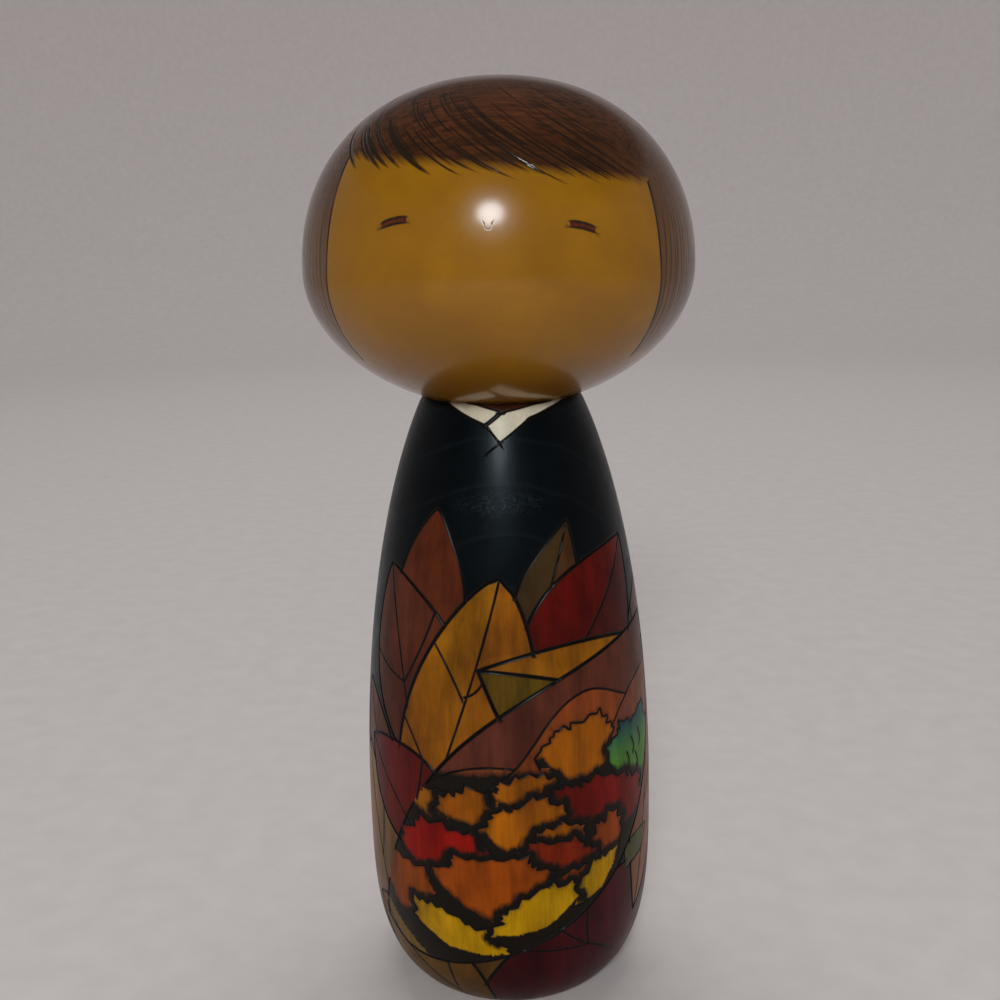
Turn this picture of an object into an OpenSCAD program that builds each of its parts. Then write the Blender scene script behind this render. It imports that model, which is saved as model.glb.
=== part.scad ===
// Kokeshi doll: a lathe-turned wooden body and a wide wooden head that turns on a peg.
// Millimetres, +Z up, +X to the doll's left side, the face looks along -Y.
// The origin is on the turning axis, in the plane that the doll stands on.

/* [Overall] */
// Height from the standing plane to the crown of the head
total_h = 241; // [225:1:260]
// Height of the body, up to its shoulder land
body_h = 162; // [150:1:168]

/* [Body] */
// Diameter of the body at its belly
belly_d = 78.6; // [70:0.2:90]
// Height of the belly above the standing plane
belly_z = 50; // [42:1:60]
// Diameter at which the side would meet the shoulder land
shoulder_d = 41.6; // [36:0.2:48]
// Diameter at which the side would meet the standing plane
base_d = 56; // [48:0.5:62]
// Fullness of the side above the belly, 2 for an ellipse
upper_fullness = 2; // [1.8:0.05:2.4]
// Fullness of the side below the belly
lower_fullness = 3.5; // [2.6:0.1:4]
// Radius that rounds the shoulder edge
shoulder_round = 1.2; // [0.6:0.1:2]
// Radius that rounds the base edge
base_round = 3; // [1.5:0.5:4]

/* [Base] */
// Diameter of the shallow recess that leaves the body standing on a rim
recess_d = 40; // [30:1:44]
// Depth of the recess
recess_depth = 0.8; // [0.4:0.1:1.5]
// Diameter of the mark that the lathe centre leaves in the recess
centre_mark_d = 3; // [2:0.5:5]

/* [Head] */
// Diameter of the head at its widest
head_d = 100; // [90:1:115]
// Height of the widest part above the standing plane
head_widest_z = 194; // [188:1:198]
// Diameter of the flat land under the head
head_land_d = 41.2; // [36:0.2:48]
// Fullness of the crown, above the widest part
crown_fullness = 2.17; // [1.9:0.01:2.4]
// Fullness of the jaw, below the widest part
jaw_fullness = 1.91; // [1.8:0.01:2.2]

/* [Neck joint] */
// Diameter of the peg
peg_d = 14; // [10:0.5:18]
// Length of the peg that is glued into the head
peg_in_head = 24; // [16:1:30]
// Length of the peg that turns in the body
peg_in_body = 26; // [16:1:36]
// Chamfer on both ends of the peg
peg_chamfer = 1.2; // [0.5:0.1:2]
// Radial clearance of the peg in the body
turning_clearance = 0.05; // [0.02:0.01:0.1]
// Gap between the shoulder land and the land under the head
neck_gap = 0.2; // [0.1:0.1:0.5]
// Room under the end of the peg
peg_end_room = 1; // [0.5:0.5:3]

/* [Hidden] */
curve_steps = 28;      // straight steps along each turned curve
round_steps = 6;       // straight steps along each rounded edge
belly_r = belly_d / 2;
shoulder_r = shoulder_d / 2;
base_r = base_d / 2;
head_r = head_d / 2;
head_land_r = head_land_d / 2;
head_floor_z = body_h + neck_gap;
peg_floor_z = head_floor_z - peg_in_body;
slope_step = 0.05;     // height step that measures a slope
through = 1;           // overrun of a cutting tool
$fn = 96;

// Half-width of a superellipse of half-width a and half-height b, at height h from its centre.
function oval_r(a, b, n, h) = a * pow(max(0, 1 - pow(abs(h) / b, n)), 1 / n);

// Half-height that takes a superellipse of half-width a through half-width r at height h.
function oval_b(a, n, r, h) = h / pow(1 - pow(r / a, n), 1 / n);

upper_b = oval_b(belly_r, upper_fullness, shoulder_r, body_h - belly_z);
lower_b = oval_b(belly_r, lower_fullness, base_r, belly_z);
crown_h = total_h - head_widest_z;
jaw_b = oval_b(head_r, jaw_fullness, head_land_r, head_widest_z - head_floor_z);

// Radius of the body's side at height z.
function side_r(z) = z > belly_z
    ? oval_r(belly_r, upper_b, upper_fullness, z - belly_z)
    : oval_r(belly_r, lower_b, lower_fullness, belly_z - z);

// Angle of the side's outward normal above the horizontal, at height z.
function side_tilt(z) = atan((side_r(z) - side_r(z + slope_step)) / slope_step);

base_tilt = side_tilt(0);
shoulder_tilt = side_tilt(body_h - 2 * slope_step);
side_from_z = base_round * (1 + sin(base_tilt));
side_to_z = body_h - shoulder_round * (1 - sin(shoulder_tilt));
base_round_x = side_r(side_from_z) - base_round * cos(base_tilt);
shoulder_round_x = side_r(side_to_z) - shoulder_round * cos(shoulder_tilt);

// Points of a rounded edge of radius r about [x, z], from one angle to another.
function rounded(x, z, r, from, to) =
    [for (i = [0:round_steps])
        let (a = from + (to - from) * i / round_steps) [x + r * cos(a), z + r * sin(a)]];

// Outline of the body: recess, standing rim, side and shoulder land.
function body_outline() = concat(
    [[0, recess_depth], [recess_d / 2 - recess_depth, recess_depth], [recess_d / 2, 0]],
    rounded(base_round_x, base_round, base_round, -90, base_tilt),
    [for (i = [1:curve_steps - 1])
        let (z = side_from_z + (belly_z - side_from_z) * (1 - cos(90 * i / curve_steps)))
        [side_r(z), z]],
    [for (i = [0:curve_steps - 1])
        let (z = belly_z + (side_to_z - belly_z) * sin(90 * i / curve_steps))
        [side_r(z), z]],
    rounded(shoulder_round_x, body_h - shoulder_round, shoulder_round, shoulder_tilt, 90),
    [[0, body_h]]);

// Outline of the head: land, jaw and crown.
function head_outline() = concat(
    [[0, head_floor_z], [head_land_r, head_floor_z]],
    [for (i = [1:curve_steps])
        let (from = asin((head_widest_z - head_floor_z) / jaw_b), a = from * (1 - i / curve_steps))
        [oval_r(head_r, jaw_b, jaw_fullness, jaw_b * sin(a)), head_widest_z - jaw_b * sin(a)]],
    [for (i = [1:curve_steps - 1])
        let (h = crown_h * pow(sin(90 * i / curve_steps), 2 / crown_fullness))
        [oval_r(head_r, crown_h, crown_fullness, h), head_widest_z + h]],
    [[0, total_h]]);

// Turned body with a blind socket for the peg and a lathe mark in its recess.
module body() {
    color("#101413")
    difference() {
        rotate_extrude() polygon(body_outline());
        translate([0, 0, peg_floor_z - peg_end_room])
            cylinder(r = peg_d / 2 + turning_clearance, h = peg_in_body + peg_end_room + through);
        translate([0, 0, recess_depth - through])
            cylinder(d1 = centre_mark_d + 2 * through, d2 = 0, h = centre_mark_d / 2 + through);
    }
}

// Turned head with a blind socket that the peg is glued into.
module head() {
    color("#a8721d")
    difference() {
        rotate_extrude() polygon(head_outline());
        translate([0, 0, head_floor_z - through]) cylinder(d = peg_d, h = peg_in_head + through);
    }
}

// Hardwood peg, chamfered at both ends.
module neck_peg() {
    color("#c9a36a")
    translate([0, 0, peg_floor_z]) {
        cylinder(d1 = peg_d - 2 * peg_chamfer, d2 = peg_d, h = peg_chamfer);
        translate([0, 0, peg_chamfer])
            cylinder(d = peg_d, h = peg_in_body + peg_in_head - 2 * peg_chamfer);
        translate([0, 0, peg_in_body + peg_in_head - peg_chamfer])
            cylinder(d1 = peg_d, d2 = peg_d - 2 * peg_chamfer, h = peg_chamfer);
    }
}

body();
head();
neck_peg();
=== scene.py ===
# Looks of the kokeshi doll. The body and the head are the turned CAD shapes, remeshed so that
# every outline, leaf vein and hair stroke is a real V groove, with stain, burnt edges and
# lacquer on top. A place on a turned surface is (angle, height): degrees round from the front,
# positive towards the doll's left, and millimetres above the standing plane.

import math
import random

import bmesh
import bpy
import numpy as np
from mathutils import Matrix, Vector
from mathutils.geometry import delaunay_2d_cdt
from mathutils.kdtree import KDTree


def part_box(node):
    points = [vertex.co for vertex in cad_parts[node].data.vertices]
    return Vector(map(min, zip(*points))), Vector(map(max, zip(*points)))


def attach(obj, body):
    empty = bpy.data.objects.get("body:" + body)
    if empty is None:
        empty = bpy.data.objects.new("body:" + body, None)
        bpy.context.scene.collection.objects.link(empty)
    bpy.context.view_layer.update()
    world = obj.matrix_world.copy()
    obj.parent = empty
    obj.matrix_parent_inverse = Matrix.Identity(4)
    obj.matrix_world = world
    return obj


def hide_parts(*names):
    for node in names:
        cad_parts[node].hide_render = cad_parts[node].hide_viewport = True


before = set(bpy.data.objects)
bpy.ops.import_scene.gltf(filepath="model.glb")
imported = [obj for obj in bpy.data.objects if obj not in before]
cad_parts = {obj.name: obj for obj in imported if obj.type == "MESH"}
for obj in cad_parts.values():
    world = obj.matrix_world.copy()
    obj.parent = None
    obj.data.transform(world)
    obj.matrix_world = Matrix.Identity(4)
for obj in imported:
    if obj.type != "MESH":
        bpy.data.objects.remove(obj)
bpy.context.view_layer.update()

MM = 0.001


def size_of(box):
    """Radius, bottom and top of a turned CAD node, in millimetres, from its box."""
    low, high = box
    return high.x / MM, low.z / MM, high.z / MM


BELLY_R, _, BODY_TOP = size_of(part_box("body"))
HEAD_R, HEAD_BOTTOM, _ = size_of(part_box("head"))
PEG_R, PEG_BOTTOM, PEG_TOP = size_of(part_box("neck_peg"))
BELLY_HEIGHT = 50
MM_PER_DEGREE = math.radians(BELLY_R)
PROFILE_STEP = 0.2
OUTLINE_STEP = 0.3
ON_AXIS = 0.01


# ---- Turned surfaces and their flat maps ----


def outer_profile(node):
    """Heights and radii in millimetres down the outside of a turned CAD node."""
    corners = sorted(
        {(round(v.co.z / MM, 3), round(math.hypot(v.co.x, v.co.y) / MM, 3))
         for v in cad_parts[node].data.vertices})
    hull = []
    for z, r in corners:
        while len(hull) > 1:
            (z1, r1), (z2, r2) = hull[-2:]
            if (z2 - z1) * (r - r1) - (r2 - r1) * (z - z1) < -1e-4:
                break
            hull.pop()
        hull.append((z, r))
    if hull[0][0] == hull[1][0]:
        hull.pop(0)
    return np.array(hull[::-1]).T


def smooth_through(knots, values, at):
    """Cubic curve through values at knots, with central-difference slopes."""
    slope = np.gradient(values, knots)
    i = np.clip(np.searchsorted(knots, at, side="right") - 1, 0, len(knots) - 2)
    gap = knots[i + 1] - knots[i]
    t = (at - knots[i]) / gap
    return ((2 * t**3 - 3 * t**2 + 1) * values[i] + (t**3 - 2 * t**2 + t) * gap * slope[i]
            + (3 * t**2 - 2 * t**3) * values[i + 1] + (t**3 - t**2) * gap * slope[i + 1])


def running_sum(steps):
    return np.concatenate([[0], np.cumsum(steps)])


class Turned:
    """The outside of a turned CAD node, and the flat disc that it maps to without shear.

    A point of the disc is a complex number. Its angle is the angle round the doll. Its distance
    from the middle, the top end, grows at the rate that keeps small shapes in proportion. At
    true_height, one unit of the disc is a millimetre.
    """

    def __init__(self, node, true_height):
        height, radius = outer_profile(node)
        chord = running_sum(np.hypot(np.diff(height), np.diff(radius)))
        run = np.arange(0, chord[-1], PROFILE_STEP)
        run = np.append(run, chord[-1])
        self.height = smooth_through(chord, height, run)
        self.radius = np.maximum(smooth_through(chord, radius, run), 0)
        self.run = run
        growth = running_sum(np.diff(run) * 2 / (self.radius[1:] + self.radius[:-1]))
        pointed = self.radius[0] < ON_AXIS
        if pointed:
            growth[1:] += math.log(self.radius[1]) - growth[1]
        flat = np.exp(growth)
        if pointed:
            flat[0] = 0
        at_true = np.interp(-true_height, -self.height, np.arange(len(run)))
        unit = np.interp(at_true, np.arange(len(run)), self.radius / np.maximum(flat, 1e-9))
        self.reach = flat * unit
        self.slope_z = np.gradient(self.height, run)
        self.slope_r = np.gradient(self.radius, run)

    def flat(self, angle, height):
        """Disc points of places on the surface."""
        reach = np.interp(-np.asarray(height, float), -self.height, self.reach)
        return reach * np.exp(1j * np.radians(angle))

    def place(self, points):
        """Angles and heights of disc points."""
        return np.degrees(np.angle(points)), np.interp(abs(points), self.reach, self.height)

    def scale(self, points):
        """Millimetres on the surface for each unit of the disc."""
        reach = np.maximum(abs(points), self.reach[1] * 0.5)
        return np.interp(reach, self.reach, self.radius) / reach

    def solid(self, points, depth=0.0):
        """Points of the disc as points in space, sunk under the surface by depth."""
        reach = abs(points)
        radius, height, slope_r, slope_z = (
            np.interp(reach, self.reach, values)
            for values in (self.radius, self.height, self.slope_r, self.slope_z))
        radius = radius + slope_z * depth
        height = height - slope_r * depth
        turn = points / np.maximum(reach, 1e-12)
        return np.stack([radius * turn.imag, -radius * turn.real, height], axis=1)


def contains(shape, points):
    """Which points of the disc lie inside a closed outline."""
    inside = np.zeros(len(points), bool)
    near = ((points.real >= shape.real.min()) & (points.real <= shape.real.max())
            & (points.imag >= shape.imag.min()) & (points.imag <= shape.imag.max()))
    x, y = points[near].real, points[near].imag
    found = np.zeros(len(x), bool)
    for a, b in zip(shape, np.roll(shape, -1)):
        if a.imag != b.imag:
            crosses = (a.imag > y) != (b.imag > y)
            found ^= crosses & (x < (b.real - a.real) * (y - a.imag) / (b.imag - a.imag) + a.real)
    inside[near] = found
    return inside


def covers(region, points):
    """Which points of the disc a region covers, within the region that bounds it."""
    inside = contains(region["shape"], points)
    if region["bounds"] is not None:
        inside &= contains(region["bounds"], points)
    return inside


def runs_of(keep):
    """Slices of the stretches where keep is true, each one sample longer at both ends."""
    edges = np.flatnonzero(np.diff(np.concatenate([[0], keep.astype(int), [0]])))
    return [slice(max(a - 1, 0), b + 1) for a, b in zip(edges[::2], edges[1::2]) if b - a > 1]


# ---- Artwork: painted regions and cut lines, each laid over the ones before ----


LINE_GROUPS = 4


class Cut:
    """A kind of cut line. In millimetres: half its width, its depth, how far its burn spreads
    past its edges, and how far apart its mesh points are."""

    def __init__(self, half, depth, spread, step):
        self.half, self.depth, self.spread, self.step = half, depth, spread, step


class Artwork:
    """Painted regions and cut lines on one turned surface."""

    def __init__(self, surface):
        self.surface = surface
        self.regions = []
        self.lines = []

    def resample(self, points, step, closed=False):
        """Disc points along a line of (angle, height) rows, evenly spaced on the surface."""
        points = np.asarray(points, float)
        if closed:
            points = np.vstack([points, points[:1]])
        fine = []
        for a, b in zip(points, points[1:]):
            way = b - a
            way[0] = (way[0] + 180) % 360 - 180
            length = np.hypot(way[0] * MM_PER_DEGREE, way[1])
            pieces = max(2, int(length / OUTLINE_STEP) + 1)
            fine.append(a + way * np.linspace(0, 1, pieces, endpoint=False)[:, None])
        fine = np.vstack(fine + [points[-1:]])
        flat = self.surface.flat(fine[:, 0], fine[:, 1])
        gaps = abs(np.diff(flat)) * self.surface.scale((flat[1:] + flat[:-1]) / 2)
        run = running_sum(gaps)
        count = max(2, int(round(run[-1] / step)) + 1)
        at = np.linspace(0, run[-1], count)
        return np.interp(at, run, flat.real) + 1j * np.interp(at, run, flat.imag)

    def region(self, outline, paint, cut=None, within=None):
        """Lays a closed painted region, and returns its number.

        paint is called with angles and heights, and gives rows of red, green, blue and smoke.
        cut is the kind of line round the outline, and within is a region that bounds this one.
        """
        made = {"shape": self.surface.flat(*np.asarray(outline, float).T), "paint": paint,
                "bounds": None if within is None else self.regions[within]["shape"]}
        kept = []
        for kind, flat, half in self.lines:
            kept += [(kind, flat[s], half[s]) for s in runs_of(~covers(made, flat))]
        self.lines = kept
        self.regions.append(made)
        if cut:
            self.line(outline, cut, within=within, closed=True)
        return len(self.regions) - 1

    def line(self, points, cut, within=None, closed=False, taper=None):
        """Adds a cut line. within is the number of a region that bounds it. taper gives the share
        of its full width at places from 0 to 1 along it."""
        flat = self.resample(points, cut.step, closed)
        half = np.full(len(flat), cut.half)
        if taper is not None:
            half = half * taper(np.linspace(0, 1, len(flat)))
        reach = self.surface.reach
        keep = (abs(flat) < reach[-1] - 1e-6) & (abs(flat) > reach[0] + 1e-6)
        if within is not None:
            keep &= contains(self.regions[within]["shape"], flat)
        self.lines += [(cut, flat[s], half[s]) for s in runs_of(keep)]

    def top_region(self, points):
        """Index of the region that shows at each disc point, or -1."""
        found = np.full(len(points), -1)
        for i, region in enumerate(self.regions):
            found[covers(region, points)] = i
        return found

    def depth_and_burn(self, points):
        """How deep each disc point is cut, in millimetres, and how burnt it is, from 0 to 1."""
        solid = self.surface.solid(points)
        depth, burn = np.zeros(len(points)), np.zeros(len(points))
        for kind in dict.fromkeys(line[0] for line in self.lines):
            lines = [(flat, half) for k, flat, half in self.lines if k is kind]
            tapered = any(np.ptp(half) > 0 for _, half in lines)
            # Neighbouring tapered lines go in different groups, so that a thin tip never hides
            # a wide stroke.
            count = min(LINE_GROUPS, len(lines)) if tapered else 1
            groups = [lines[i::count] for i in range(count)]
            for group in groups:
                cut, glow = self.one_group(kind, group, solid)
                depth = np.maximum(depth, cut)
                burn = np.maximum(burn, glow)
        return depth, burn

    def one_group(self, kind, lines, solid):
        """Depth and burn of one group of lines at points in space."""
        centres = np.concatenate([finer(flat) for flat, _ in lines])
        halves = np.concatenate([finer(half).real for _, half in lines])
        tree = tree_of(self.surface.solid(centres))
        nearest = [tree.find(p) for p in solid]
        away = np.array([n[2] for n in nearest])
        half = np.maximum(halves[[n[1] for n in nearest]], 0.02)
        share = half / kind.half
        depth = kind.depth * share * np.clip(1 - away / half, 0, 1)
        glow = np.exp(-np.maximum(away - half, 0) / kind.spread)
        return depth, glow * np.minimum(1, 1.5 * share)


def finer(values):
    """Four times as many values along a row, in between the given ones."""
    at = np.linspace(0, len(values) - 1, 4 * len(values))
    steps = np.arange(len(values))
    return np.interp(at, steps, values.real) + 1j * np.interp(at, steps, values.imag)


def tree_of(points):
    """Search tree of points in space."""
    tree = KDTree(len(points))
    for i, point in enumerate(points):
        tree.insert(point, i)
    tree.balance()
    return tree


def close_to(points, tree, limit):
    """Which points in space are nearer than limit to a point of the tree."""
    return np.array([tree.find(p)[2] < limit for p in points])


RIM_COUNT = 240
RIM_MARGIN = 0.5
SIDE_ROW_GAP = 0.25
THINNEST_GROOVE = 0.1
GRID_ROW = 0.866
GRID_CLEARANCE = 0.55
SHARP_ANGLE = math.radians(55)


def sheet_mesh(art, top, bottom, spacing, fine_spacing=None, fine_in=None):
    """Triangles of a turned surface between two heights, with edges along the artwork's lines.

    top is None for a surface that closes on the axis. Free points lie spacing millimetres apart,
    or fine_spacing where the function fine_in says so. Returns the disc points, the triangles,
    and each boundary loop as vertex numbers.
    """
    surface = art.surface
    points, edges = [], []

    def add(row, closed=False):
        first = len(points)
        points.extend(row)
        edges.extend((first + i, first + i + 1) for i in range(len(row) - 1))
        if closed:
            edges.append((first + len(row) - 1, first))

    angles = np.linspace(-180, 180, RIM_COUNT, endpoint=False)
    rims = [surface.flat(angles, h) for h in (top, bottom) if h is not None]
    for rim in rims:
        add(rim, closed=True)
    inner = 0 if top is None else abs(rims[0][0]) + RIM_MARGIN / surface.scale(rims[0][:1])[0]
    outer = abs(rims[-1][0]) - RIM_MARGIN / surface.scale(rims[-1][:1])[0]

    def add_inside(row, wanted):
        for s in runs_of(wanted & (abs(row) > inner) & (abs(row) < outer)):
            part = row[s]
            part = part[(abs(part) > inner) & (abs(part) < outer)]
            if len(part) > 1:
                add(part)

    for _, flat, half in art.lines:
        add_inside(flat, half > 0)
        along = np.gradient(flat)
        across = 1j * along / np.maximum(abs(along), 1e-12) / surface.scale(flat)
        edge = np.maximum(half, THINNEST_GROOVE)
        for side in (-1, 1):
            for offset in (edge, edge + SIDE_ROW_GAP):
                add_inside(flat + side * offset * across, half > 0.02)
    tree = tree_of(surface.solid(np.array(points)))
    top_run = 0 if top is None else np.interp(-top, -surface.height, surface.run)
    bottom_run = np.interp(-bottom, -surface.height, surface.run)

    def grid(gap):
        rings = []
        for k, run in enumerate(np.arange(top_run + gap / 2, bottom_run, gap * GRID_ROW)):
            r = np.interp(run, surface.run, surface.radius)
            reach = np.interp(run, surface.run, surface.reach)
            count = max(3, int(round(2 * math.pi * r / gap)))
            rings.append(reach * np.exp(2j * math.pi * (np.arange(count) + 0.5 * (k % 2)) / count))
        return np.concatenate(rings)

    loose = grid(spacing)
    if fine_spacing:
        extra = grid(fine_spacing)
        loose = np.concatenate([loose[~fine_in(loose)], extra[fine_in(extra)]])
    limit = GRID_CLEARANCE * (fine_spacing or spacing)
    loose = loose[~close_to(surface.solid(loose), tree, limit)]
    flat = np.concatenate([np.array(points), loose])
    made = delaunay_2d_cdt([Vector((p.real, p.imag)) for p in flat], edges, [], 0, 1e-5, False)
    flat = np.array([complex(v.x, v.y) for v in made[0]])
    triangles = np.array(made[2])
    centres = flat[triangles].mean(axis=1)
    keep = np.ones(len(triangles), bool)
    if top is not None:
        keep &= ~contains(rims[0], centres)
    keep &= contains(rims[-1], centres)
    triangles = triangles[keep]
    return flat, triangles, [[int(np.argmin(abs(flat - p))) for p in rim] for rim in rims]


def ring_faces(first, second):
    """Quads between two loops of the same length."""
    count = len(first)
    nexts = [(i + 1) % count for i in range(count)]
    return [(first[i], first[j], second[j], second[i]) for i, j in enumerate(nexts)]


def add_object(name, data):
    made = bpy.data.objects.new(name, data)
    bpy.context.scene.collection.objects.link(made)
    return made


def turned_piece(name, art, flat, triangles, ends):
    """A closed mesh: the cut sheet, and turned rings that close each of its boundary loops.

    ends holds (loop, rings) pairs, where rings are (radius, height) and the last one is the
    centre. Returns the object, the disc points of its first vertices, and how many of its faces
    belong to the sheet.
    """
    depth, burn = art.depth_and_burn(flat)
    used = np.unique(triangles)
    number = np.full(len(flat), -1)
    number[used] = np.arange(len(used))
    flat, depth, burn = flat[used], depth[used], burn[used]
    corners = art.surface.solid(flat, depth)
    faces = [tuple(number[t]) for t in triangles]
    sheet_faces = len(faces)
    corners = [tuple(c) for c in corners]
    for loop, rings in ends:
        last = [number[i] for i in loop]
        turn = flat[last] / abs(flat[last])
        for r, z in rings[:-1]:
            ring = list(range(len(corners), len(corners) + len(last)))
            corners += [(r * t.imag, -r * t.real, z) for t in turn]
            faces += ring_faces(last, ring)
            last = ring
        centre = len(corners)
        corners.append((0, 0, rings[-1][1]))
        faces += [(last[i], last[(i + 1) % len(last)], centre) for i in range(len(last))]
    mesh = bpy.data.meshes.new(name)
    mesh.from_pydata([(x * MM, y * MM, z * MM) for x, y, z in corners], [], faces)
    piece = add_object(name, mesh)
    point_out(mesh)
    mesh.polygons.foreach_set("use_smooth", [True] * len(faces))
    bare = [int(i >= sheet_faces) for i in range(len(faces))]
    mesh.polygons.foreach_set("material_index", bare)
    mesh.set_sharp_from_angle(angle=SHARP_ANGLE)
    spare = len(corners) - len(flat)
    burnt = mesh.attributes.new("burn", "FLOAT", "POINT")
    burnt.data.foreach_set("value", np.concatenate([burn, np.zeros(spare)]).astype(np.float32))
    return piece, flat, sheet_faces


def point_out(mesh):
    """Turns every face of a closed mesh outward."""
    shell = bmesh.new()
    shell.from_mesh(mesh)
    bmesh.ops.recalc_face_normals(shell, faces=shell.faces)
    shell.to_mesh(mesh)
    shell.free()


def paint_corners(piece, art, flat, sheet_faces, ground):
    """Stores each face corner's paint as an attribute: a colour, and smoke or hair as alpha."""
    mesh = piece.data
    vertex = np.zeros(len(mesh.loops), int)
    mesh.loops.foreach_get("vertex_index", vertex)
    total = 3 * sheet_faces
    corner_flat = flat[vertex[:total]]
    region = np.repeat(art.top_region(corner_flat.reshape(-1, 3).mean(axis=1)), 3)
    angle, height = art.surface.place(corner_flat)
    colour = np.zeros((len(vertex), 4), np.float32)
    colour[:total] = ground(angle, height)
    for i, spec in enumerate(art.regions):
        chosen = np.flatnonzero(region == i)
        colour[chosen] = spec["paint"](angle[chosen], height[chosen])
    layer = mesh.attributes.new("paint", "FLOAT_COLOR", "CORNER")
    layer.data.foreach_set("color", colour.ravel())


# ---- Shapes drawn on the unrolled robe ----


def stain(code):
    """Linear colour of a #rrggbb code."""
    parts = [int(code[i:i + 2], 16) / 255 for i in (1, 3, 5)]
    return [p / 12.92 if p < 0.04045 else ((p + 0.055) / 1.055) ** 2.4 for p in parts]


def smoked(colour, smoke):
    """Rows of red, green, blue and smoke, from one colour or a row of colours."""
    colours = np.broadcast_to(colour, (len(smoke), 3))
    return np.hstack([colours, smoke[:, None]])


def plain(code):
    """A paint of one colour without smoke."""
    return lambda angle, height: smoked(stain(code), np.zeros(len(angle)))


def on_sheet(angle, height):
    """Points of the unrolled sheet, in millimetres as on the belly."""
    return np.asarray(angle) * MM_PER_DEGREE + 1j * np.asarray(height, float)


def rows(angle, height):
    """Rows of (angle, height), where either may be one number."""
    return np.stack(np.broadcast_arrays(angle, height), axis=1)


def off_sheet(points):
    """Rows of (angle, height) for points of the sheet."""
    return rows(points.real / MM_PER_DEGREE, points.imag)


def arc(start, end, bow, count=24):
    """Sheet points from start to end, bowed to the left of the way by bow millimetres."""
    t = np.linspace(0, 1, count)
    along = end - start
    return start + along * t + 1j * along / abs(along) * bow * 4 * t * (1 - t)


def curve(start, end, bow=0.0):
    """An arc between two (angle, height) places."""
    return off_sheet(arc(on_sheet(*start), on_sheet(*end), bow))


def patch(*corners):
    """A closed outline of (angle, height, bow) corners; bow is for the edge to the next corner."""
    pairs = zip(corners, corners[1:] + corners[:1])
    return np.vstack([curve(here[:2], there[:2], here[2])[:-1] for here, there in pairs])


def bend(*places):
    """A smooth line through a few (angle, height) places."""
    places = np.array(places, float)
    steps = np.arange(len(places))
    at = np.linspace(0, len(places) - 1, 12 * len(places))
    return np.stack([smooth_through(steps, column, at) for column in places.T], axis=1)


class Leaf:
    """A pointed leaf between two places.

    left and right are (half-width, root power, tip power), where a smaller power is a fuller end.
    bow bends the leaf to the left, and widest is how far along it is widest.
    """

    def __init__(self, root, tip, left, right, bow=0.0, widest=0.5):
        self.root, self.tip = on_sheet(*root), on_sheet(*tip)
        self.left, self.right, self.bow = left, right, bow
        self.warp = math.log(0.5) / math.log(widest)

    def half_width(self, s, side):
        half, root_power, tip_power = self.left if side > 0 else self.right
        power = root_power * (1 - s) + tip_power * s
        return half * np.sin(math.pi * np.clip(s, 0, 1) ** self.warp).clip(0, 1) ** power

    def at(self, s, side):
        """Sheet points a share s of the way from root to tip; side is -1 to 1 across the leaf."""
        way = (self.tip - self.root) / abs(self.tip - self.root)
        across = side * self.half_width(s, 1 if side > 0 else -1) + self.bow * 4 * s * (1 - s)
        return self.root + (self.tip - self.root) * s + 1j * way * across

    def outline(self):
        s = np.linspace(0, 1, 40)
        return off_sheet(np.concatenate([self.at(s, -1), self.at(s[::-1], 1)[1:-1]]))

    def midrib(self, start=0.0, end=1.0):
        return off_sheet(self.at(np.linspace(start, end, 40), 0))

    def rib(self, start, end, side, bow=0.6):
        """A side rib from the midrib out to the edge."""
        return off_sheet(arc(self.at(start, 0), self.at(end, side), bow * side))

    def paint(self, root, tip, right=None):
        """Stain that runs from one colour at the root to another at the tip. right is the tip's
        colour on the right half, where the root is a darker shade of it."""
        root, tip = np.array(stain(root)), np.array(stain(tip))
        other = tip if right is None else np.array(stain(right))

        def at(angle, height):
            q = (on_sheet(angle, height) - self.root) / (self.tip - self.root)
            side = q.imag * abs(self.tip - self.root) - self.bow * 4 * q.real * (1 - q.real)
            share = np.clip(q.real, 0, 1)[:, None]
            near_tip = np.where((side > 0)[:, None], tip, other)
            near_root = root if right is None else np.where((side > 0)[:, None], root, other * 0.8)
            return smoked(near_root * (1 - share) + near_tip * share, np.zeros(len(share)))
        return at


TOOTH_GAP = 1.3
HAZE_REACH = 2.5


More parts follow.
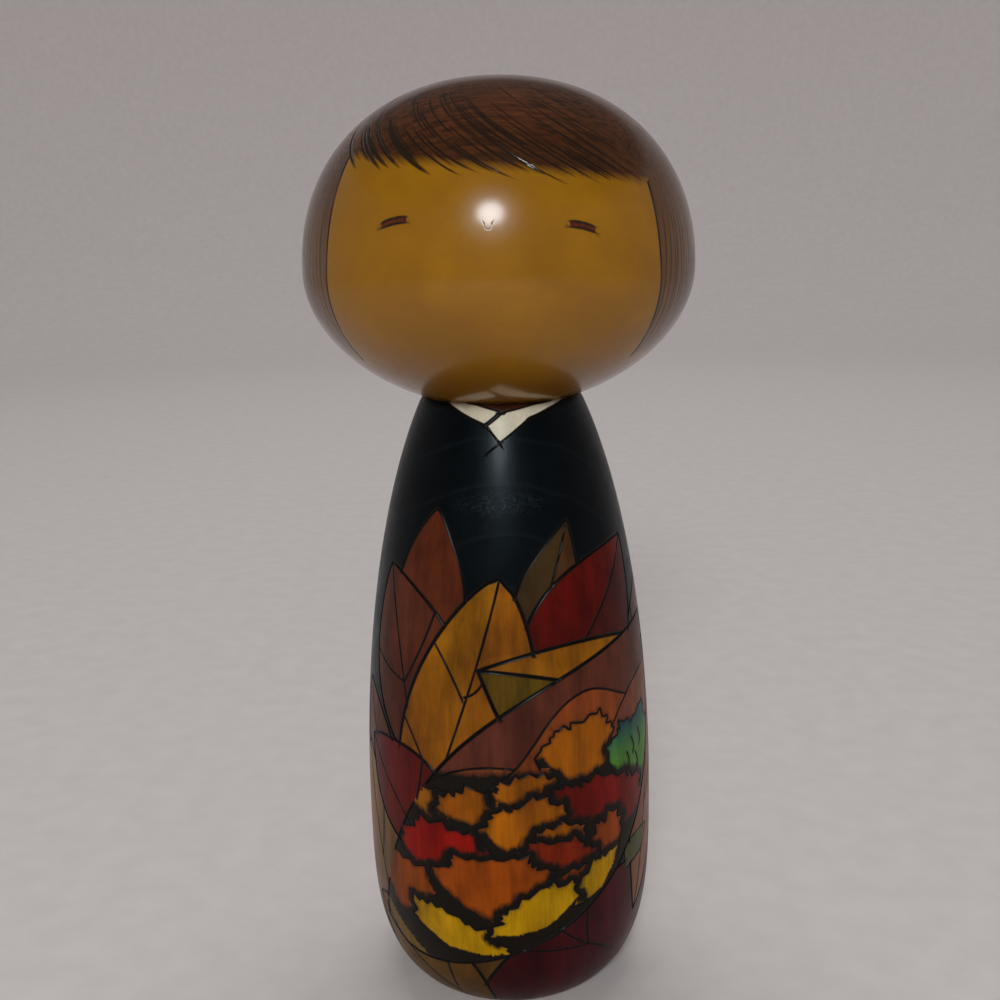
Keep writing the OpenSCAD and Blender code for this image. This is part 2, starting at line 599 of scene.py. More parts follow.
class Crown:
    """A tree crown with a ragged cut top. Its lower side narrows to a blunt point and fades
    into smoke. It stands rise above its centre and drop below it."""

    def __init__(self, centre, width, rise, drop, tilt, code, seed, fade=2.5, top=None):
        self.centre, self.turn = on_sheet(*centre), np.exp(1j * math.radians(tilt))
        self.width, self.drop, self.fade = width, drop, fade
        self.colour, self.tips, self.rise = stain(code), stain(top or code), rise
        self.nearer = []
        draw = random.Random(seed)
        first, second = (draw.uniform(0, 2 * math.pi) for _ in range(2))
        count = 2 * max(5, round((width + rise) / (2 * TOOTH_GAP)))
        points = []
        for i in range(count + 1):
            way = math.pi * (1.04 - 1.08 * (i + draw.uniform(-0.3, 0.3)) / count)
            lobe = 1 + 0.09 * math.cos(3 * way + first) + 0.09 * math.cos(7 * way + second)
            across, up = math.cos(way), math.sin(way)
            across = math.copysign(abs(across) ** 0.8, across)
            up = math.copysign(abs(up) ** 0.65, up)
            tooth = draw.uniform(0.3, 1.7) if i % 2 else -draw.uniform(0.0, 0.7)
            lean = way + draw.uniform(-0.6, 0.6)
            points.append(complex(width / 2 * across, rise * up) * lobe
                          + tooth * complex(math.cos(lean), math.sin(lean)))
        self.edge = self.centre + self.turn * np.array(points)

    def top_edge(self):
        return off_sheet(self.edge)

    def low(self, x):
        """How high the lower side is, from -1 to 1 across the crown."""
        return -self.drop * np.clip(1 - abs(x), 0, 1) ** 0.6

    def outline(self):
        x = np.linspace(0.94, -0.94, 20)
        under = self.centre + self.turn * (x * self.width / 2 + 1j * self.low(x))
        return np.vstack([self.top_edge(), off_sheet(under)])

    def haze(self, q):
        """Smoke that hangs over this crown, at sheet points outside it."""
        away = np.full(len(q), np.inf)
        for place in finer(self.edge):
            away = np.minimum(away, abs(q - place))
        return np.clip(1.25 - away / HAZE_REACH, 0, 1)

    def paint(self, angle, height):
        sheet = on_sheet(angle, height)
        q = (sheet - self.centre) / self.turn
        x = np.clip(2 * q.real / self.width, -1, 1)
        smoke = np.clip(1 - (q.imag - self.low(x)) / self.fade, 0, 1)
        for crown in self.nearer:
            smoke = np.maximum(smoke, crown.haze(sheet))
        share = np.clip(q.imag / self.rise * 1.4 - 0.2, 0, 1)[:, None]
        shade = np.array(self.colour) * (1 - share) + np.array(self.tips) * share
        return smoked(shade, smoke)


BOLD = Cut(half=0.37, depth=0.36, spread=0.11, step=0.9)
VEIN = Cut(half=0.2, depth=0.18, spread=0.09, step=0.9)
COLLAR = Cut(half=0.16, depth=0.16, spread=0.05, step=0.6)
TWIG = Cut(half=0.18, depth=0.14, spread=0.2, step=0.6)


def add_leaf(art, leaf, root, tip, right=None, ribs=(), midrib=(0.0, 1.0)):
    """Lays a stained leaf with its veins; ribs are (start, end, side) for each side rib."""
    index = art.region(leaf.outline(), leaf.paint(root, tip, right), BOLD)
    if midrib:
        art.line(leaf.midrib(*midrib), VEIN, within=index)
    for start, end, side in ribs:
        art.line(leaf.rib(start, end, side), VEIN, within=index)
    return index


def paint_robe():
    """All the artwork of the body."""
    art = Artwork(Turned("body", BELLY_HEIGHT))
    lay_collar(art)
    lay_back_leaves(art)
    lay_front_leaves(art)
    return art


def lay_collar(art):
    """Neck and two crossed collar bands, the doll's left one on top."""
    art.region(patch((-41, 162.6, 0), (62, 162.6, 0), (3, 159.6, 0)), plain("#4a2817"), VEIN)
    art.region(patch((-41, 162.4, 0), (-8.5, 157.2, 0), (1.6, 160.2, 0), (-15, 161.8, 0)),
               plain("#d2cbb2"), COLLAR)
    art.region(patch((58, 162.4, 0), (25.5, 161.6, 0), (3.4, 160, 0), (-6.8, 156.9, 0),
                     (0.9, 153, 0), (19.5, 158.4, 0.3)), plain("#dad3bb"), COLLAR)
    art.line(bend((-34, 161), (-8.5, 156.7), (1.5, 152.3)), VEIN)
    art.line(bend((40, 160.6), (19.5, 158), (1.2, 152.8), (-6.3, 150.5)), VEIN)


def lay_back_leaves(art):
    """Leaves that carry the pattern round the sides and the back of the robe."""
    leaves = [
        (Leaf((-95, 20), (-128, 84), (13, 0.8, 0.8), (12, 0.8, 0.9)), "#4a1512", "#5c1f16"),
        (Leaf((-150, 34), (-176, 96), (12, 0.8, 0.8), (13, 0.8, 0.9)), "#59301a", "#6f3b1c"),
        (Leaf((150, 28), (176, 76), (12, 0.8, 0.8), (12, 0.8, 0.9)), "#5d4414", "#7c5a1a"),
        (Leaf((118, 60), (150, 110), (12, 0.8, 0.8), (13, 0.8, 0.9)), "#50170f", "#6a1c12"),
        (Leaf((92, 66), (112, 122), (11, 0.8, 0.9), (12, 0.8, 0.8)), "#4a3320", "#5d4022"),
        (Leaf((60, 74), (100, 116), (14, 0.7, 0.8), (16, 0.8, 0.8)), "#3f2226", "#54302e"),
    ]
    for leaf, root, tip in leaves:
        add_leaf(art, leaf, root, tip,
                 ribs=[(0.3, 0.62, 1), (0.5, 0.8, -1), (0.22, 0.5, -1)])
    low_leaves = [
        (Leaf((-170, -14), (-118, 44), (13, 0.8, 0.7), (15, 0.7, 0.8)), "#6c3312", "#8a4a18"),
        (Leaf((170, -12), (128, 46), (16, 0.8, 0.8), (13, 0.8, 0.7)), "#3a0e12", "#4d1418"),
        (Leaf((80, -10), (112, 72), (15, 0.7, 0.8), (16, 0.8, 0.8)), "#6b4422", "#855a30"),
        (Leaf((-70, -16), (-98, 50), (12, 0.8, 0.8), (14, 0.7, 0.8)), "#54401c", "#6d5424"),
    ]
    for leaf, root, tip in low_leaves:
        add_leaf(art, leaf, root, tip, ribs=[(0.45, 0.75, 1), (0.3, 0.66, -1)])


def lay_front_leaves(art):
    """The leaves of the front, from the ones behind to the ones on top."""
    rust = Leaf((-33, 90), (-31, 137), (13, 0.8, 0.8), (12, 0.8, 0.8))
    add_leaf(art, rust, "#4c2213", "#682f16", midrib=None)
    olive = Leaf((8, 98), (33, 134), (9, 0.9, 1.0), (10, 0.9, 0.9), widest=0.45)
    add_leaf(art, olive, "#392817", "#463419", right="#4e3018", midrib=(0, 0.95))
    scarlet = Leaf((10, 86), (69, 126.5), (17, 0.8, 0.9), (18, 0.8, 0.8), widest=0.42)
    add_leaf(art, scarlet, "#430a04", "#6a0f05", right="#4a1410")
    russet = Leaf((-36, 70), (-58, 121), (13, 0.8, 0.8), (19, 0.8, 0.8), bow=-2.0)
    add_leaf(art, russet, "#4a2117", "#5a281a", right="#582a18",
             ribs=[(0.42, 0.6, 1), (0.42, 0.72, -1)])
    brown = Leaf((-46, 48), (-72, 88), (9, 0.8, 0.8), (9, 0.8, 0.8))
    add_leaf(art, brown, "#4a2415", "#5a2c1e")
    amber = Leaf((-38, 45), (0, 120.6), (16.3, 0.7, 0.65), (20, 0.7, 0.6), bow=-1.0)
    index = add_leaf(art, amber, "#7e3f06", "#9a6408", right="#925606")
    for outer, inner, bow in (((-29, 105), (-15, 90), 0.6), ((-7.5, 94.5), (-14.5, 91), 0.6),
                              ((-43, 84), (-30, 70), 0.5)):
        art.line(curve(outer, inner, bow), VEIN, within=index)
    art.region(patch((-80, -6, 0), (-80, 40, 0), (-10, 34, 0), (16, -6, 0)), plain("#4f3414"))
    tan = Leaf((-46, 8), (-73, 70), (15, 0.7, 0.8), (12, 0.8, 0.8))
    add_leaf(art, tan, "#6a4a22", "#85603a", ribs=[(0.5, 0.8, -1)])
    crimson = Leaf((-24, 44), (-66, 73), (8.5, 0.8, 0.8), (17, 0.8, 0.7))
    add_leaf(art, crimson, "#5e100a", "#571210", ribs=[(0.35, 0.6, -1)])
    maroon = Leaf((-16, -4), (86, 38), (18, 0.7, 0.8), (20, 0.8, 0.8))
    index = add_leaf(art, maroon, "#3a0a08", "#470e14", midrib=None)
    for place in ((32.5, 30), (21, 27), (6, 22), (52, 12)):
        art.line(curve((34, 20), place, 0.4), VEIN, within=index)
    ochre = Leaf((-6, -6), (-66, 26), (12, 0.8, 0.8), (16, 0.8, 0.7))
    add_leaf(art, ochre, "#4d3010", "#6d4c18", ribs=[(0.3, 0.6, -1)])
    copper = Leaf((62, 22), (82, 96), (10, 0.8, 0.8), (12, 0.8, 0.8))
    add_leaf(art, copper, "#7b4a2a", "#7c4a38", ribs=[(0.4, 0.7, -1)])
    art.region(patch((52, 44, 1), (72, 45, 0), (67, 39, 0), (53, 37, 0)), plain("#4c4a2a"), VEIN)
    lay_folded_leaf(art)
    lay_hill_leaf(art)


def lay_folded_leaf(art):
    """A slim leaf whose lower half is folded over, so that its duller back shows."""
    blade = patch((-9, 98, 3.8), (64, 101, 0), (40, 88, 0), (0, 84, 0))
    index = art.region(blade, plain("#905806"), BOLD)
    art.region(patch((-9, 98, 0.8), (26, 94, 0), (20, 84, 0), (1, 84, 0.5)), plain("#5c4506"),
               BOLD, within=index)


AMBER = "#a05803"
YELLOW = "#b38600"


def lay_hill_leaf(art):
    """The big leaf that holds a hillside of autumn trees under two bare hills."""
    leaf = Leaf((-60, 21), (82, 104), (24, 0.9, 0.9), (34, 0.5, 0.8))

    def hill(code):
        """A paint that goes up in smoke under the treeline."""
        def at(angle, height):
            treeline = 72 + 1.5 * np.cos(np.radians(angle * 2 - 20))
            return smoked(stain(code), np.clip((treeline - height) / 3.2, 0, 1))
        return at

    index = art.region(leaf.outline(), hill("#5a2c1e"), BOLD)
    mound = curve((-32, 66), (6, 72.5), 3.2)
    arch = bend((-4, 68), (5, 73), (12, 79), (19, 85), (28, 89.5), (39, 90.5), (56, 86))
    far_slope = bend((46, 79), (54, 84.5), (66, 89), (92, 92))
    hills = ((mound, 60, "#743a1c"), (arch, 60, "#843f18"), (far_slope, 50, "#7c4028"))
    for ridge, low, code in hills:
        under = [(ridge[-1][0], low), (ridge[0][0], low)]
        art.region(np.vstack([ridge, under]), hill(code), within=index)
        art.line(ridge, VEIN, within=index)
    crowns = [
        Crown((31.5, 74.5), 22, 8.5, 9, 0, AMBER, 11),
        Crown((61, 68), 21, 12, 11, 0, "#4a7c2c", 5, top="#1a4a50"),
        Crown((-27, 61), 14, 4.5, 5, 0, "#985a06", 3),
        Crown((-8, 62), 27, 4.4, 6, 5, "#985204", 4),
        Crown((9.5, 65.5), 18, 5, 6, 0, "#9c5804", 41),
        Crown((42, 59), 38, 6.5, 11, -12, "#6c1104", 7),
        Crown((-25, 48.5), 27, 7.2, 9, 0, "#921206", 8),
        Crown((9, 55), 21, 8.5, 8, 0, AMBER, 9),
        Crown((21.5, 52), 15, 4.4, 6, 0, AMBER, 30),
        Crown((43, 48), 10, 7.4, 8, 0, "#8c3e08", 10),
        Crown((20, 46), 23, 6, 8, -5, "#802606", 21),
        Crown((-44, 36), 22, 7.5, 10, -18, "#8e4205", 12, 4),
        Crown((-5, 41.5), 32, 6.5, 12, 0, "#944303", 13, 4),
        Crown((27, 40), 14, 3.4, 6, 20, "#884004", 31),
        Crown((37.5, 38.5), 17, 4.4, 3.2, 40, YELLOW, 14, 0.6),
        Crown((-21.5, 24.8), 28, 6, 4, -17, YELLOW, 15, 0.6),
        Crown((13.5, 31.8), 25, 6, 4, 25, YELLOW, 16, 0.6),
    ]
    for i, crown in enumerate(crowns):
        crown.nearer = crowns[i + 1:]
        art.region(crown.outline(), crown.paint, within=index)
        art.line(crown.top_edge(), TWIG, within=index)
        if crown.tips != crown.colour:
            for x, y in ((55, 70), (59, 73), (62, 68), (57, 64), (65, 74)):
                art.line(bend((x, y), (x + 1.5, y - 2.5), (x + 0.5, y - 4)), TWIG, within=index)
    art.region(patch((-61, 30, -5), (-32, 14.5, 0.6)), plain("#76581a"), within=index)


# ---- Hair and face ----


HEAD_TRUE_HEIGHT = 200
FACE_HALF = 50.5
FACE_MIDDLE = 207
FACE_CURVE = 0.0035
FRINGE_MIDDLE = 217
FRINGE_FOOT = 216
FRINGE_SLOPE = 0.075
FRINGE_TWIST = 1.9
FRINGE_FADE = 4.2
HAIR_BOTTOM = 173.5
HAIR_FADE = 3.5


def face_edge(height):
    """Angle of the face's edge on either side of the front, at a height."""
    return FACE_HALF + FACE_CURVE * (height - FACE_MIDDLE) ** 2


def fringe(angle):
    """Height of the fringe at an angle."""
    return FRINGE_MIDDLE - FRINGE_SLOPE * angle


def swept(angle, height):
    """Angle at which the strand through a place reaches the foot of the fringe."""
    return angle + FRINGE_TWIST * np.maximum(height - FRINGE_FOOT, 0)


STRAND = Cut(half=0.42, depth=0.14, spread=0.14, step=0.6)
FINE_STRAND = Cut(half=0.16, depth=0.07, spread=0.08, step=0.8)
FACE_LINE = Cut(half=0.2, depth=0.15, spread=0.1, step=0.9)


def brush(t):
    """Width of a brush stroke along it: it swells, then ends in a long point."""
    return np.clip(2.8 * t**0.7 * (1 - t)**0.8, 0.02, 1)


def strand(tip_angle, tip_height, rise, curl):
    """Points down one strand: curl degrees is how much it flattens out at the tip."""
    t = np.linspace(0, 1, 16)
    height = tip_height + rise * (1 - t)
    return rows(tip_angle - FRINGE_TWIST * (height - tip_height) + curl * (t**4 - 1), height)


def draw_head():
    """All the artwork of the head. The smoke value of a paint here is how much hair covers it."""
    art = Artwork(Turned("head", HEAD_TRUE_HEIGHT))

    def hair(angle, height):
        return smoked([0, 0, 0], np.clip((height - HAIR_BOTTOM + 1.5) / HAIR_FADE, 0, 1))

    def skin(angle, height):
        return smoked([0, 0, 0], np.clip((height - fringe(angle) + 1.6) / FRINGE_FADE, 0, 1))

    art.region(rows(np.linspace(-180, 180, 180, endpoint=False), HAIR_BOTTOM - 2), hair)
    heights = np.linspace(HEAD_BOTTOM + 1.5, 222, 60)
    art.region(np.vstack([rows(-face_edge(heights), heights),
                          rows(np.linspace(-50, 50, 30), 226),
                          rows(face_edge(heights), heights)[::-1],
                          rows(np.linspace(56, -56, 30), HEAD_BOTTOM + 1)]), skin)
    for side in (-1, 1):
        edge = np.linspace(HAIR_BOTTOM + 0.5, fringe(side * 50) + 0.5, 40)
        art.line(rows(side * face_edge(edge), edge), FACE_LINE)
    draw_strands(art)
    draw_features(art)
    return art


def draw_strands(art):
    """Strokes at the fringe, finer ones above it and round the crown, and long ones behind."""
    draw = random.Random(4)
    for i in range(21):
        angle = -48 + 4.7 * i + draw.uniform(-1.4, 1.4)
        tip = fringe(angle) - draw.uniform(-0.2, 2.6)
        bold = angle < -15
        rise = draw.uniform(7, 12) if bold else draw.uniform(6, 15)
        width = draw.uniform(0.8, 1.1) if bold else draw.uniform(0.8, 1.35)
        curl = draw.uniform(0, 1.5) if bold else draw.uniform(1, 3)
        art.line(strand(angle, tip, rise, curl), STRAND if bold else FINE_STRAND,
                 taper=lambda t, width=width: width * brush(t))
    for i in range(34):
        angle = draw.uniform(-50, 50)
        tip = fringe(angle) + draw.uniform(-0.5, 6)
        art.line(strand(angle, tip, draw.uniform(6, 16), draw.uniform(0, 2)), FINE_STRAND,
                 taper=lambda t: np.clip(brush(t), 0.1, 0.65))
    for i in range(70):
        angle = draw.uniform(-180, 180)
        art.line(strand(angle, draw.uniform(218, 230), draw.uniform(5, 10), 0), FINE_STRAND,
                 taper=lambda t: np.clip(brush(t), 0.1, 0.6))
    angle = 54.0
    while angle < 306:
        low = HAIR_BOTTOM + draw.uniform(0, 5)
        high = draw.uniform(203, 216)
        shown = angle if angle < 180 else angle - 360
        middle = (shown + draw.uniform(-0.6, 0.6), (low + high) / 2)
        art.line([(shown, high), middle, (shown, low)], FINE_STRAND,
                 taper=lambda t: np.clip(4 * t * (1 - t), 0.05, 0.7))
        angle += draw.uniform(1.5, 2.8)


def draw_features(art):
    """Two short brushed eyes and a small round nose line."""
    eyes = ((-21.8, -29.4, 205.9, 204.7), (21.2, 28.2, 204.2, 202.8))
    for inner, outer, low, high in eyes:
        side = np.sign(inner)
        art.region(patch((outer, high, 0), (outer, high + 1.5, -0.3 * side), (inner, low + 1.4, 0),
                         (inner, low, 0.3 * side)), plain("#ffffff"))
        for lift in (0.1, 1.4):
            art.line(curve((outer, high + lift), (inner, low + lift), -0.3 * side), FINE_STRAND,
                     taper=lambda t: np.clip(4 * t * (1 - t) + 0.5, 0.5, 1.1))
    nose = np.linspace(-1, 1, 20)
    art.line(rows(1.15 * nose, 204.1 + 1.5 * nose**4), FINE_STRAND,
             taper=lambda t: np.full(len(t), 0.42))


# ---- Materials ----


class Nodes:
    """Builds one material's nodes. An input is a number, a colour or another node's output."""

    def __init__(self, name):
        self.material = bpy.data.materials.new(name)
        self.material.use_nodes = True
        self.tree = self.material.node_tree
        self.shader = self.tree.nodes["Principled BSDF"]
        self.place = self.add("ShaderNodeTexCoord").outputs["Object"]

    def add(self, kind, inputs=(), **settings):
        made = self.tree.nodes.new(kind)
        for key, value in settings.items():
            setattr(made, key, value)
        for key, value in dict(inputs).items():
            self.fill(made.inputs[key], value)
        return made

    def fill(self, socket, value):
        if isinstance(value, bpy.types.NodeSocket):
            self.tree.links.new(value, socket)
        elif isinstance(value, str):
            socket.default_value = (*stain(value), 1)
        else:
            socket.default_value = value

    def math(self, operation, *values):
        return self.add("ShaderNodeMath", enumerate(values), operation=operation).outputs[0]

    def plus(self, first, second):
        return self.math("ADD", first, second)

    def times(self, first, second, plus=None):
        if plus is None:
            return self.math("MULTIPLY", first, second)
        return self.math("MULTIPLY_ADD", first, second, plus)

    def mix(self, share, first, second, how="MIX"):
        return self.add("ShaderNodeMix", {0: share, 6: first, 7: second},
                        data_type="RGBA", blend_type=how).outputs[2]

    def stretch(self, scales, turn=(0, 0, 0), shift=(0, 0, 0), of=None):
        """The place, or another vector, scaled, then turned, then shifted."""
        return self.add("ShaderNodeMapping", {"Vector": of or self.place, "Location": shift,
                                              "Rotation": turn, "Scale": scales}).outputs[0]

    def from_axis(self, place):
        """Distance of a place from the Z axis."""
        x, y, _ = self.add("ShaderNodeSeparateXYZ", {0: place}).outputs
        return self.math("SQRT", self.plus(self.times(x, x), self.times(y, y)))

    def rise(self):
        return self.add("ShaderNodeSeparateXYZ", {0: self.place}).outputs[2]

    def noise(self, scale, detail=2.0, roughness=0.5, distortion=0.0, of=None, **mapping):
        """Noise of the place or of another vector. scale is one number, or one for each axis."""
        vector = of or self.place
        if isinstance(scale, tuple):
            vector, scale = self.stretch(scale, of=of, **mapping), 1.0
        return self.add("ShaderNodeTexNoise", {
            "Vector": vector, "Scale": scale, "Detail": detail, "Roughness": roughness,
            "Distortion": distortion}).outputs["Fac"]

    def ramp(self, value, *stops):
        """Colour ramp through (position, colour) stops; a plain number is a grey."""
        made = self.add("ShaderNodeValToRGB", {0: value})
        bar = made.color_ramp
        while len(bar.elements) < len(stops):
            bar.elements.new(0.5)
        for element, (position, shade) in zip(bar.elements, stops):
            element.position = position
            element.color = [*(stain(shade) if isinstance(shade, str) else [shade] * 3), 1]
        return made.outputs[0]

    def attribute(self, name, output):
        return self.add("ShaderNodeAttribute", attribute_name=name).outputs[output]

    def surface(self, **values):
        """Sets inputs of the surface shader."""
        for key, value in values.items():
            self.fill(self.shader.inputs[key.replace("_", " ")], value)

    def bumps(self, height, distance, strength=1.0):
        bump = self.add("ShaderNodeBump",
                        {"Height": height, "Distance": distance, "Strength": strength})
        self.fill(self.shader.inputs["Normal"], bump.outputs[0])


def grown_rings(nodes, tilt, shift, gap):
    """Year rings of the tree round a tilted pith line, from 0 to 1 across each ring."""
    waver = nodes.noise((28, 28, 7), detail=2)
    out = nodes.from_axis(nodes.stretch((1, 1, 1), turn=tilt, shift=shift))
    return nodes.math("FRACT", nodes.math("DIVIDE", nodes.times(waver, 0.006, out), gap))


def robe_material():
    """Stains under lacquer: the attribute paint holds colour and smoke, and burn the scorching."""
    nodes = Nodes("stained_robe")
    paint = nodes.attribute("paint", "Color")
    smoke = nodes.attribute("paint", "Alpha")
    burn = nodes.attribute("burn", "Fac")
    fibre = nodes.noise((1500, 1500, 45), detail=3, roughness=0.6)
    pores = nodes.noise((2600, 2600, 130), detail=1)
    cloud = nodes.noise((170, 170, 24), detail=4, roughness=0.6)
    wash = nodes.noise((70, 70, 40), detail=3, roughness=0.6)
    hairy = nodes.noise((700, 700, 260), detail=3, roughness=0.65)
    ring = grown_rings(nodes, (-0.3, 0, 0), (-0.001, -0.067, 0), 0.0068)
    late = nodes.ramp(ring, (0.0, 0.35), (0.12, 0.0), (0.7, 0.25), (0.97, 1.0), (1.0, 0.35))

    # Uneven stain, calmer on pale paints.
    bright = nodes.add("ShaderNodeRGBToBW", {0: paint}).outputs[0]
    calm = nodes.ramp(bright, (0.3, 1.0), (0.5, 0.3))
    tone = nodes.times(cloud, 1.9, nodes.times(fibre, 0.5, -0.2))
    tone = nodes.times(nodes.math("SUBTRACT", tone, 1.0), calm, 1.0)
    stained = nodes.add("ShaderNodeVectorMath", {0: paint, "Scale": tone},
                        operation="SCALE").outputs[0]
    browner = nodes.mix(0.6, stained, (0.3, 0.2, 0.2, 1), "MULTIPLY")
    patches = nodes.times(nodes.ramp(wash, (0.48, 0.0), (0.68, 0.7)), calm)
    stained = nodes.mix(patches, stained, browner)

    # Late wood, pores, and the rings that show through the black ground, with a painted
    # bluish-grey sheen along them.
    deep = nodes.mix(0.42, stained, (0.05, 0.012, 0.004, 1), "MULTIPLY")
    stained = nodes.mix(nodes.times(late, 0.3), stained, deep)
    speck = nodes.ramp(pores, (0.30, 1.0), (0.38, 0.0))
    stained = nodes.mix(nodes.times(speck, 0.14), stained, (0.01, 0.005, 0.003, 1))
    # Painted sheen: the ring lines on the black ground are tinted bluish grey.
    line = nodes.times(nodes.ramp(ring, (0.86, 0.0), (0.95, 1.0), (1.0, 0.0)), pores)
    haze = nodes.mix(nodes.times(line, 0.17), stained, (0.03, 0.045, 0.055, 1))
    stained = nodes.mix(nodes.ramp(bright, (0.008, 1.0), (0.02, 0.0)), stained, haze)

    # Smoke with a streaky edge, scorched lines, and a scuffed spot on the chest with a painted
    # bluish-grey sheen.
    edge = nodes.plus(smoke, nodes.times(nodes.math("SUBTRACT", hairy, 0.5), 0.9))
    shade = nodes.ramp(edge, (0.22, 0.0), (0.5, 0.55), (0.75, 1.0))
    charred = nodes.mix(shade, stained, (0.010, 0.006, 0.003, 1))
    scorch = nodes.ramp(burn, (0.05, 0.0), (0.45, 0.6), (0.9, 1.0))
    robe = nodes.mix(scorch, charred, (0.006, 0.004, 0.003, 1))
    spot = nodes.add("ShaderNodeVectorMath",
                     {0: nodes.stretch((70, 24, 260), shift=(0, 0.98, -36))},
                     operation="LENGTH").outputs["Value"]
    crackle = nodes.noise((900, 900, 1500), detail=2, distortion=1.5)
    scuff_and_sheen = nodes.times(nodes.ramp(spot, (0.3, 1.0), (1.0, 0.0)),
                        nodes.ramp(crackle, (0.52, 0.0), (0.6, 1.0)))
    # Painted sheen: the scuffed spot is tinted bluish grey, where the lamp reflects on the chest.
    scuffed_with_sheen = nodes.mix(nodes.times(scuff_and_sheen, 0.3), robe, (0.05, 0.075, 0.085, 1))
    wear = nodes.noise((130, 130, 130), detail=5, roughness=0.7)
    nodes.surface(Base_Color=scuffed_with_sheen, Roughness=nodes.ramp(wear, (0.3, 0.28), (0.7, 0.42)))
    nodes.surface(Coat_Weight=0.08, Coat_Roughness=0.2, Coat_IOR=1.4, Specular_IOR_Level=0.09)
    nodes.surface(Specular_Tint=(0.6, 0.86, 1, 1))
    nodes.bumps(nodes.times(late, 0.35, nodes.times(fibre, 0.5)), 0.00012, 0.35)
    return nodes.material


def head_material():
    """Skin and hair under lacquer: the attribute paint holds the hair's cover as alpha and the
    eyes as white, burn the scorching, and flow the run of the hair."""
    nodes = Nodes("stained_head")
    cover = nodes.attribute("paint", "Alpha")
    eyes = nodes.attribute("paint", "Fac")
    burn = nodes.attribute("burn", "Fac")
    flow = nodes.attribute("flow", "Vector")
    rise = nodes.rise()
    cloud = nodes.noise(55, 4, 0.6, 0.4)
    blotch = nodes.noise((120, 120, 190), detail=3, roughness=0.6)
    fleck = nodes.noise((500, 1900, 1900), detail=2)
    streak = nodes.noise(1.0, detail=4, roughness=0.7, of=flow)
    wide = nodes.noise((0.22, 0.22, 0.5), of=flow)

    # Skin, with painted shade darkening it towards the chin.
    skin = nodes.ramp(cloud, (0.3, "#8f6008"), (0.5, "#986709"), (0.7, "#a16f0c"))
    skin = nodes.mix(nodes.ramp(blotch, (0.42, 0.0), (0.72, 0.3)), skin, "#8a5c10")
    skin = nodes.mix(nodes.ramp(fleck, (0.6, 0.0), (0.8, 0.14)), skin, "#7a4a10")
    # Painted shade: the skin turns a darker brown low on the head, where its underside is in
    # shade.
    painted_chin_shade = nodes.ramp(rise, (0.168, 0.6), (0.175, 0.26), (0.192, 0.0))
    skin = nodes.mix(painted_chin_shade, skin, "#5a350c")

    # Hair in streaks, warmer at the crown and thinner at the sides.
    lock = nodes.times(wide, 0.35, nodes.times(streak, 0.75))
    hair = nodes.ramp(lock, (0.3, "#100803"), (0.46, "#221307"), (0.6, "#341c0b"),
                      (0.8, "#4a2c13"))
    crown = nodes.times(nodes.noise(28, 2), 0.035, rise)
    crown = nodes.ramp(crown, (0.222, 0.0), (0.244, 1.0))
    grain = nodes.noise((60, 900, 900), detail=4, roughness=0.7, turn=(0, 0.06, 0.1))
    warm = nodes.mix(nodes.ramp(grain, (0.36, 0.0), (0.7, 0.85)), hair, "#6e3b18")
    hair = nodes.mix(nodes.times(crown, 0.8), hair, warm)
    thin = nodes.times(nodes.ramp(rise, (0.2, 0.8), (0.22, 0.0)), lock)
    hair = nodes.mix(thin, hair, "#8a5a24")

    # Hair over skin with a ragged edge, then the eyes and the scorched lines.
    ragged = nodes.plus(cover, nodes.times(nodes.math("SUBTRACT", streak, 0.5), 0.8))
    shown = nodes.times(nodes.ramp(ragged, (0.28, 0.0), (0.85, 1.0)),
                        nodes.ramp(cover, (0.0, 0.0), (0.08, 1.0)))
    painted = nodes.mix(shown, skin, hair)
    brown = nodes.mix(nodes.ramp(fleck, (0.35, 0.0), (0.65, 1.0)), "#4a1d0c", "#6b2f12")
    painted = nodes.mix(eyes, painted, brown)
    scorch = nodes.ramp(burn, (0.08, 0.0), (0.5, 0.6), (0.95, 0.95))
    wear = nodes.noise(150, 5, 0.7)
    nodes.surface(Base_Color=nodes.mix(scorch, painted, (0.016, 0.007, 0.003, 1)))
    nodes.surface(Roughness=nodes.ramp(wear, (0.3, 0.38), (0.7, 0.52)))
    nodes.surface(Coat_Weight=1.0, Coat_Roughness=0.17, Coat_IOR=1.4, Specular_IOR_Level=0.05)
    nodes.surface(Subsurface_Weight=0.06, Subsurface_Radius=(0.004, 0.002, 0.001),
                  Subsurface_Scale=1.0)
    nodes.bumps(nodes.plus(nodes.noise(300, 3), nodes.times(streak, 0.3)),
                0.00008, 0.3)
    return nodes.material


def bare_wood(name, darker, paler):
    """Turned wood left bare: year rings, fibres and the fine grooves of the turning tool."""
    nodes = Nodes(name)
    fibre = nodes.noise((900, 900, 70), detail=4, roughness=0.65)
    ring = grown_rings(nodes, (0.1, 0.04, 0), (0.003, 0.02, 0), 0.0035)
    wood = nodes.ramp(nodes.times(ring, 0.35, nodes.times(fibre, 0.75)),
                      (0.2, darker), (0.8, paler))
    path = nodes.plus(nodes.from_axis(nodes.place), nodes.rise())
    marks = nodes.math("SINE", nodes.times(path, 7000))
    marks = nodes.times(marks, nodes.noise(200, 3))
    nodes.surface(Base_Color=nodes.mix(nodes.ramp(marks, (0.2, 0.0), (0.6, 0.25)), wood, darker))
    nodes.surface(Roughness=nodes.ramp(fibre, (0.3, 0.5), (0.7, 0.68)))
    nodes.bumps(nodes.plus(marks, fibre), 0.0001, 0.6)
    return nodes.material


# ---- The two turned pieces and the peg ----


SOCKET_R = PEG_R + 0.05
SOCKET_FLOOR = PEG_BOTTOM - 1
BASE_RECESS_R = 20
BASE_RECESS = 0.8
CENTRE_MARK_R = 1.5
BODY_SPACING = 1.7
HEAD_SPACING = 1.6
SCENERY_SPACING = 1.05
SCENERY_MIDDLE = 8
SCENERY_HALF = 72
SCENERY_BOTTOM = 14
SCENERY_TOP = 92


